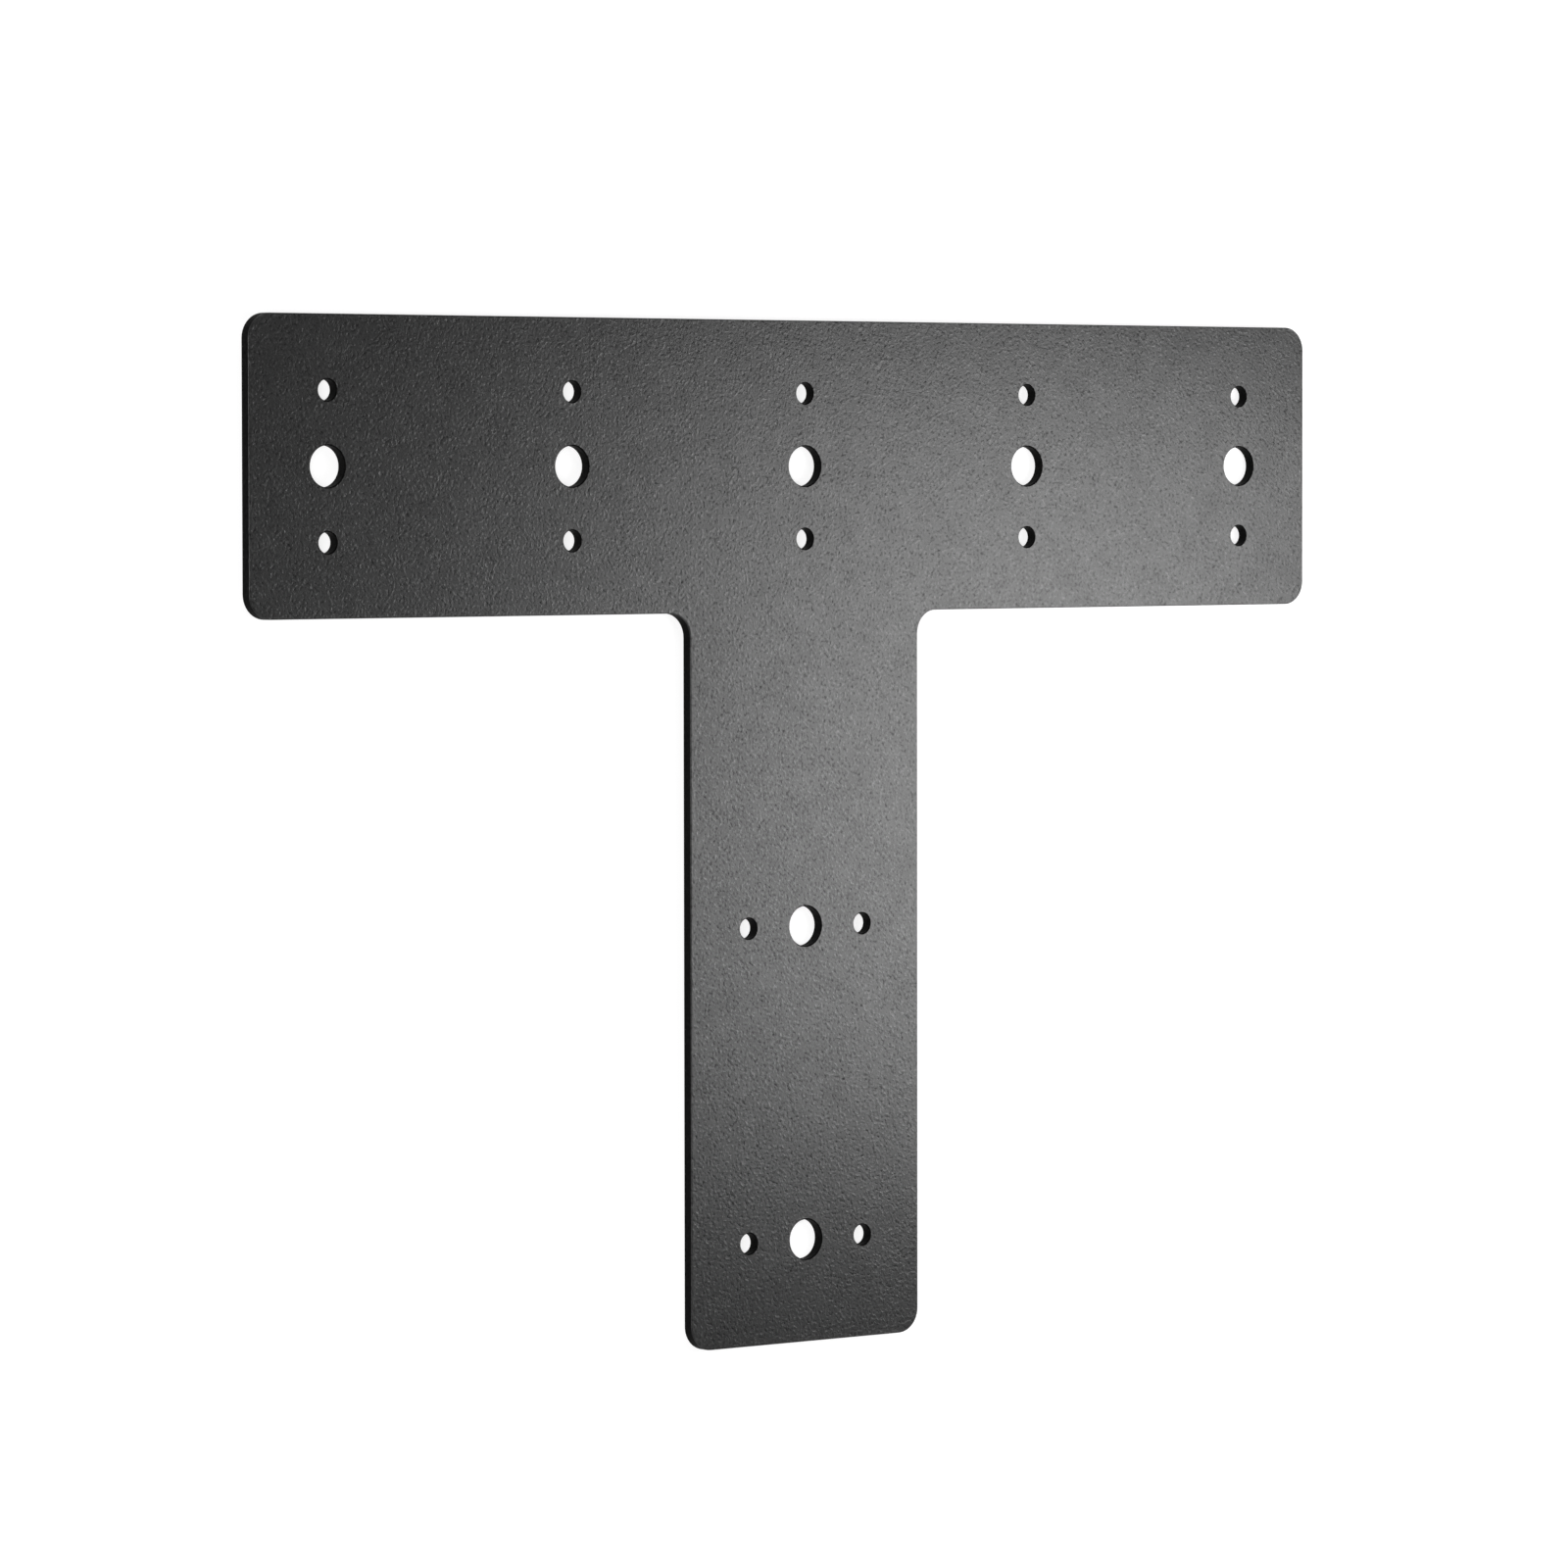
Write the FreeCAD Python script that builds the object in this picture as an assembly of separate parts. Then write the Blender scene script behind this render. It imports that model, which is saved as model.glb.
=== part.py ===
import FreeCAD, Part
import math
import os

# A flat T plate for timber framing: a cross bar and a stem cut from one sheet of steel.
# It lies on its back face, with the front face up. X runs along the bar, and the stem
# points to -Y. The origin is on the axis of the middle bolt hole, at the back face.

# Driving dimensions in millimetres
strap_width = 76.2          # across the bar, and across the stem
plate_thickness = 3.2
bolts_on_bar = 5
bolts_on_stem = 2
bar_bolt_pitch = 76.2       # from one bolt hole to the next along the bar
bar_end_margin = 23.8125    # from the outermost bolt hole to the end of the bar
stem_first_bolt = 120.65    # from the bar's line of bolt holes to the first on the stem
stem_bolt_pitch = 82.55     # from one bolt hole to the next along the stem
stem_end_margin = 26.9875   # from the last bolt hole to the end of the stem
bolt_hole_diameter = 10.5
screw_hole_diameter = 5.4
screw_spacing = 38.1        # between the two screw holes that flank a bolt hole
corner_radius = 6.35        # the six outside corners
throat_radius = 6.35        # the two inside corners, where the stem meets the bar
edge_radius = 0.3           # the rounded edge round both faces
rim_chamfer = 0.3           # the small chamfer at both ends of every hole

# Worked out from the driving dimensions
half_width = strap_width / 2
half_bar = (bolts_on_bar - 1) * bar_bolt_pitch / 2 + bar_end_margin
stem_reach = stem_first_bolt + (bolts_on_stem - 1) * stem_bolt_pitch + stem_end_margin


def corner_arc(before, corner, after, radius):
    """Start, middle and end of the arc that rounds a corner between its two neighbours."""
    back = (before - corner).normalize()
    ahead = (after - corner).normalize()
    half_angle = back.getAngle(ahead) / 2
    setback = radius / math.tan(half_angle)
    inward = (back + ahead).normalize() * (radius / math.sin(half_angle) - radius)
    return corner + back * setback, corner + inward, corner + ahead * setback


def rounded_outline(corners):
    """A closed wire through sharp corners (x, y, radius), with an arc at each corner."""
    points = [FreeCAD.Vector(x, y, 0) for x, y, radius in corners]
    arcs = []
    for i, (x, y, radius) in enumerate(corners):
        after = points[(i + 1) % len(points)]
        arcs.append(corner_arc(points[i - 1], points[i], after, radius))
    edges = []
    for i, (start, middle, end) in enumerate(arcs):
        next_start = arcs[(i + 1) % len(arcs)][0]
        edges.append(Part.Arc(start, middle, end).toShape())
        edges.append(Part.makeLine(end, next_start))
    return Part.Wire(edges)


def t_outline():
    """The outline of the plate, counter-clockwise from the top left corner of the bar."""
    return rounded_outline([
        (-half_bar, half_width, corner_radius),
        (-half_bar, -half_width, corner_radius),
        (-half_width, -half_width, throat_radius),
        (-half_width, -stem_reach, corner_radius),
        (half_width, -stem_reach, corner_radius),
        (half_width, -half_width, throat_radius),
        (half_bar, -half_width, corner_radius),
        (half_bar, half_width, corner_radius),
    ])


def hole_group(bolt, across):
    """The circles of a bolt hole and of the two screw holes that flank it."""
    up = FreeCAD.Vector(0, 0, 1)
    offset = across * (screw_spacing / 2)
    circles = [Part.makeCircle(bolt_hole_diameter / 2, bolt, up)]
    for centre in (bolt - offset, bolt + offset):
        circles.append(Part.makeCircle(screw_hole_diameter / 2, centre, up))
    return [Part.Wire(circle) for circle in circles]


def all_holes():
    """Screw holes sit across the strap: one over the other on the bar, abreast on the stem."""
    along_x = FreeCAD.Vector(1, 0, 0)
    along_y = FreeCAD.Vector(0, 1, 0)
    holes = []
    for i in range(bolts_on_bar):
        from_middle = i - (bolts_on_bar - 1) / 2
        holes += hole_group(along_x * (from_middle * bar_bolt_pitch), along_y)
    for i in range(bolts_on_stem):
        below_bar = stem_first_bolt + i * stem_bolt_pitch
        holes += hole_group(along_y * -below_bar, along_x)
    return holes


def level_edges(solid, closed):
    """Edges that lie flat in a face: the closed ones are rims of holes."""
    level = 0.001
    flat = [edge for edge in solid.Edges if edge.BoundBox.ZLength < level]
    return [edge for edge in flat if edge.isClosed() == closed]


def t_plate():
    """The sheet with its outline and holes, its border rounded and its hole rims eased."""
    blank = Part.makeFace([t_outline()] + all_holes(), "Part::FaceMakerBullseye")
    sheet = blank.extrude(FreeCAD.Vector(0, 0, plate_thickness))
    rounded = sheet.makeFillet(edge_radius, level_edges(sheet, closed=False))
    return rounded.makeChamfer(rim_chamfer, level_edges(rounded, closed=True))


os.makedirs("parts", exist_ok=True)
t_plate().exportStep("parts/t_plate.step")
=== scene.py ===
import math

import bpy
from mathutils import Matrix, Vector

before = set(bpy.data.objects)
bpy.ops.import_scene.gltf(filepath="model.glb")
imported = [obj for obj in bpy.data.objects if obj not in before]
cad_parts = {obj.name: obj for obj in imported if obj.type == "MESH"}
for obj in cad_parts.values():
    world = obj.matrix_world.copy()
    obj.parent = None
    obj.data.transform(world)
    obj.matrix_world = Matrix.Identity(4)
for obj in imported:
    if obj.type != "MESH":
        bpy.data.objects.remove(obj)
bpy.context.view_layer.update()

MM = 0.001

# The camera: where it stands, what its axis meets, how its picture is turned, its long lens,
# and how near and how far it sees
CAMERA_PLACE = Vector((-1.2309, -0.0025, 1.5428))
CAMERA_TARGET = Vector((-0.00722, -0.08314, 0.0032))
CAMERA_ROLL = math.radians(-0.08)
IMAGE_SIDE = 1600
FOCAL_PIXELS = 7671
SENSOR_WIDTH = 36.0
NEAREST_SEEN, FARTHEST_SEEN = 0.05, 20.0

# The soft boxes: place, width and height, and how bright the face is. The key stands close,
# to the right of the plate. The left one lights the left rims, and the others the other views
LAMP_TARGET = Vector((0.0, -0.05, 0.0))
SOFT_BOXES = {
    "key": ((0.301, -0.089, 0.280), (0.250, 0.208), 6.75),
    "left": ((-1.60, -0.10, 1.28), (0.6, 0.6), 12.0),
    "back": ((0.0, 1.70, 1.40), (1.4, 1.0), 2.0),
    "front": ((0.0, -1.90, 1.40), (1.4, 1.0), 2.0),
}
ROOM_LIGHT = 0.05

# The floor: a wide disc that curves up into a wall all round. It lies a hair below the plate
FLOOR_RADIUS = 3.0
CURVE_RADIUS = 1.0
CURVE_STEPS = 12
WALL_TOP = 1.6
FLOOR_TURNS = 96
FLOOR_DROP = 0.02 * MM

# The floor's paper, and how bright its glow is at the middle and from a metre out
PAPER_TONE = 0.35
NEAR_GLOW, FAR_GLOW = 0.82, 0.98

# The coat: its tone, roughness and gloss on the faces and on the cut edges, which are rougher and
# carry painted shade, a darker tone and a weaker gloss
FACE_TONE, EDGE_SHADE_TONE = 0.020, 0.004
FACE_ROUGHNESS, EDGE_ROUGHNESS = 0.33, 0.6
FACE_GLOSS, EDGE_SHADE_GLOSS = 0.5, 0.03

# How level a spot lies: 0 on an upright wall and 1 on a face. From LEVEL_ENOUGH up it counts
# as face, but for the chamfers of the holes, which all lie as level as CHAMFER_LEVEL. Walls and
# chamfers get the edges' painted shade
LEVEL_ENOUGH = 0.6
CHAMFER_LEVEL = math.sqrt(0.5)
CHAMFER_SPAN = 0.02

# The noise: the value that it swings around, how much finer noise it holds, and how far it is
# turned out of the plate's axes, in radians, so that its own grid doesn't show
NOISE_MIDDLE = 0.5
NOISE_DETAIL = 1.0
NOISE_TURN = (0.6, 0.4, 0.9)

# The coat's fine grain and its wider, weaker mottle
GRAIN_SIZE = 0.8 * MM
GRAIN_CALM = 0.055
GRAIN_CONTRAST = 2.1
GRAIN_HEIGHT = 0.125 * MM
MOTTLE_SIZE = 7 * MM
MOTTLE_CONTRAST = 0.3


def grey(tone):
    """A colour with no hue, from 0, black, to 1, white."""
    return (tone, tone, tone, 1.0)


def add_camera():
    """A long lens that looks down on the plate, with the bar level at the picture's top."""
    data = bpy.data.cameras.new("camera")
    data.sensor_width = SENSOR_WIDTH
    data.lens = FOCAL_PIXELS / IMAGE_SIDE * SENSOR_WIDTH
    data.clip_start = NEAREST_SEEN
    data.clip_end = FARTHEST_SEEN
    camera = bpy.data.objects.new("camera", data)
    back = (CAMERA_PLACE - CAMERA_TARGET).normalized()
    right = Vector((0, 1, 0)).cross(back).normalized()
    up = back.cross(right)
    turned = Matrix((right, up, back)).transposed().to_4x4()
    roll = Matrix.Rotation(CAMERA_ROLL, 4, "Z")
    camera.matrix_world = Matrix.Translation(CAMERA_PLACE) @ turned @ roll
    bpy.context.scene.collection.objects.link(camera)
    bpy.context.scene.camera = camera


def add_soft_box(name, place, sides, radiance):
    """An oblong soft box that faces the plate. Its power follows from how bright its face is."""
    place = Vector(place)
    data = bpy.data.lights.new(name, "AREA")
    data.shape = "RECTANGLE"
    data.size, data.size_y = sides
    data.energy = radiance * math.pi * sides[0] * sides[1]
    lamp = bpy.data.objects.new(name, data)
    lamp.location = place
    lamp.rotation_mode = "QUATERNION"
    lamp.rotation_quaternion = (LAMP_TARGET - place).to_track_quat("-Z", "Y")
    lamp.visible_camera = False
    bpy.context.scene.collection.objects.link(lamp)


def add_room():
    """An even, dim light from all round."""
    world = bpy.data.worlds.new("room")
    world.use_nodes = True
    background = world.node_tree.nodes["Background"]
    background.inputs["Color"].default_value = grey(1.0)
    background.inputs["Strength"].default_value = ROOM_LIGHT
    bpy.context.scene.world = world


def maths(tree, operation, *terms):
    """What a maths node gives. Each term is a number or the output of another node."""
    node = tree.nodes.new("ShaderNodeMath")
    node.operation = operation
    for socket, term in zip(node.inputs, terms):
        if isinstance(term, bpy.types.NodeSocket):
            tree.links.new(term, socket)
        else:
            socket.default_value = term
    return node.outputs["Value"]


def floor_material():
    """Grey paper, lit and shaded by the lamps, that a glow makes white to the eye."""
    material = bpy.data.materials.new("paper")
    material.use_nodes = True
    tree = material.node_tree
    tree.nodes.clear()
    paper = tree.nodes.new("ShaderNodeBsdfDiffuse")
    paper.inputs["Color"].default_value = grey(PAPER_TONE)

    # The glow is for what is seen, straight, mirrored or through glass. It lights nothing
    rays = tree.nodes.new("ShaderNodeLightPath").outputs
    seen = maths(tree, "MAXIMUM", rays["Is Camera Ray"], rays["Is Glossy Ray"])
    seen = maths(tree, "MAXIMUM", seen, rays["Is Transmission Ray"])

    # It is full from a metre out and least at the middle, where the plate's shadow is to show
    coordinates = tree.nodes.new("ShaderNodeTexCoord")
    nearness = tree.nodes.new("ShaderNodeTexGradient")
    nearness.gradient_type = "SPHERICAL"
    tree.links.new(coordinates.outputs["Object"], nearness.inputs["Vector"])
    whiteness = maths(tree, "MULTIPLY_ADD", nearness.outputs["Fac"], NEAR_GLOW - FAR_GLOW, FAR_GLOW)
    glow = tree.nodes.new("ShaderNodeEmission")
    tree.links.new(maths(tree, "MULTIPLY", seen, whiteness), glow.inputs["Strength"])

    both = tree.nodes.new("ShaderNodeAddShader")
    tree.links.new(paper.outputs["BSDF"], both.inputs[0])
    tree.links.new(glow.outputs["Emission"], both.inputs[1])
    output = tree.nodes.new("ShaderNodeOutputMaterial")
    tree.links.new(both.outputs["Shader"], output.inputs["Surface"])
    return material


def floor_rings():
    """Radius and height of each ring of points round the floor's middle, from the inside out."""
    rings = [(FLOOR_RADIUS, 0.0)]
    for step in range(1, CURVE_STEPS + 1):
        angle = math.radians(90 * step / CURVE_STEPS)
        rings.append((FLOOR_RADIUS + CURVE_RADIUS * math.sin(angle),
                      CURVE_RADIUS * (1 - math.cos(angle))))
    rings.append((FLOOR_RADIUS + CURVE_RADIUS, WALL_TOP))
    return rings


def add_floor():
    """The disc and its wall, as one surface turned about the upright axis."""
    rings = floor_rings()
    points = [(0.0, 0.0, -FLOOR_DROP)]
    for radius, height in rings:
        for turn in range(FLOOR_TURNS):
            angle = 2 * math.pi * turn / FLOOR_TURNS
            points.append((radius * math.cos(angle), radius * math.sin(angle), height - FLOOR_DROP))

    # A fan of triangles fills the first ring, and a band of oblongs joins each ring to the next
    faces = [(0, 1 + turn, 1 + (turn + 1) % FLOOR_TURNS) for turn in range(FLOOR_TURNS)]
    for ring in range(len(rings) - 1):
        inner = 1 + ring * FLOOR_TURNS
        outer = inner + FLOOR_TURNS
        for turn in range(FLOOR_TURNS):
            after = (turn + 1) % FLOOR_TURNS
            faces.append((inner + turn, outer + turn, outer + after, inner + after))

    mesh = bpy.data.meshes.new("floor")
    mesh.from_pydata(points, [], faces)
    mesh.materials.append(floor_material())
    mesh.shade_smooth()
    floor = bpy.data.objects.new("floor", mesh)
    bpy.context.scene.collection.objects.link(floor)


def noise(tree, place, size):
    """Soft noise around 0, its lumps about size metres across. Place is in metres."""
    texture = tree.nodes.new("ShaderNodeTexNoise")
    texture.inputs["Scale"].default_value = 1 / size
    texture.inputs["Detail"].default_value = NOISE_DETAIL
    tree.links.new(place, texture.inputs["Vector"])
    return maths(tree, "SUBTRACT", texture.outputs["Fac"], NOISE_MIDDLE)


def grain_and_mottle(tree, place):
    """The coat's grain, around 0, and the factor around 1 that grain and mottle make together."""
    turned = tree.nodes.new("ShaderNodeMapping")
    turned.inputs["Rotation"].default_value = NOISE_TURN
    tree.links.new(place, turned.inputs["Vector"])
    mottle = noise(tree, turned.outputs["Vector"], MOTTLE_SIZE)
    swing = noise(tree, turned.outputs["Vector"], GRAIN_SIZE)

    # The grain stays level where the noise is calm, so that single lumps and pits stand out
    calm = maths(tree, "MAXIMUM", maths(tree, "MINIMUM", swing, GRAIN_CALM), -GRAIN_CALM)
    grain = maths(tree, "SUBTRACT", swing, calm)

    around_one = maths(tree, "MULTIPLY_ADD", mottle, MOTTLE_CONTRAST, 1.0)
    around_one = maths(tree, "MULTIPLY_ADD", grain, GRAIN_CONTRAST, around_one)
    return grain, around_one


def face_share(tree, normal):
    """How far a spot is face: 0 on a cut edge and on the holes' chamfers, which get painted shade.
    """
    facing = tree.nodes.new("ShaderNodeSeparateXYZ")
    tree.links.new(normal, facing.inputs["Vector"])
    level = maths(tree, "ABSOLUTE", facing.outputs["Z"])
    face = maths(tree, "MINIMUM", maths(tree, "DIVIDE", level, LEVEL_ENOUGH), 1.0)
    chamfer = maths(tree, "COMPARE", level, CHAMFER_LEVEL, CHAMFER_SPAN)
    return maths(tree, "MULTIPLY", face, maths(tree, "SUBTRACT", 1.0, chamfer))


def edge_to_face(tree, face, on_edge, on_face):
    """A value that goes from the one on the cut edges to the one on the faces."""
    return maths(tree, "MULTIPLY_ADD", face, on_face - on_edge, on_edge)


def coat_material():
    """Black powder coat with a fine grain, a little uneven over wider patches."""
    material = bpy.data.materials.new("black_powder_coat")
    material.use_nodes = True
    tree = material.node_tree
    coat = tree.nodes["Principled BSDF"]
    coordinates = tree.nodes.new("ShaderNodeTexCoord")
    grain, around_one = grain_and_mottle(tree, coordinates.outputs["Object"])
    face = face_share(tree, coordinates.outputs["Normal"])

    # The factor makes both the tone and the gloss uneven
    # On the cut edges and chamfers the lower tone and gloss are painted shade that darkens them
    tone = edge_to_face(tree, face, EDGE_SHADE_TONE, FACE_TONE)
    gloss = edge_to_face(tree, face, EDGE_SHADE_GLOSS, FACE_GLOSS)
    roughness = edge_to_face(tree, face, EDGE_ROUGHNESS, FACE_ROUGHNESS)
    tree.links.new(maths(tree, "MULTIPLY", tone, around_one), coat.inputs["Base Color"])
    tree.links.new(maths(tree, "MULTIPLY", gloss, around_one), coat.inputs["Specular IOR Level"])
    tree.links.new(roughness, coat.inputs["Roughness"])

    bump = tree.nodes.new("ShaderNodeBump")
    bump.inputs["Distance"].default_value = GRAIN_HEIGHT
    tree.links.new(grain, bump.inputs["Height"])
    tree.links.new(bump.outputs["Normal"], coat.inputs["Normal"])
    return material


def dress_plate():
    """The plate keeps its shape and gets the coat."""
    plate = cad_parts["t_plate"]
    coat = coat_material()
    for slot in plate.material_slots:
        slot.material = coat


bpy.context.scene.view_settings.view_transform = "Standard"
add_camera()
for name, (place, sides, radiance) in SOFT_BOXES.items():
    add_soft_box(name, place, sides, radiance)
add_room()
add_floor()
dress_plate()
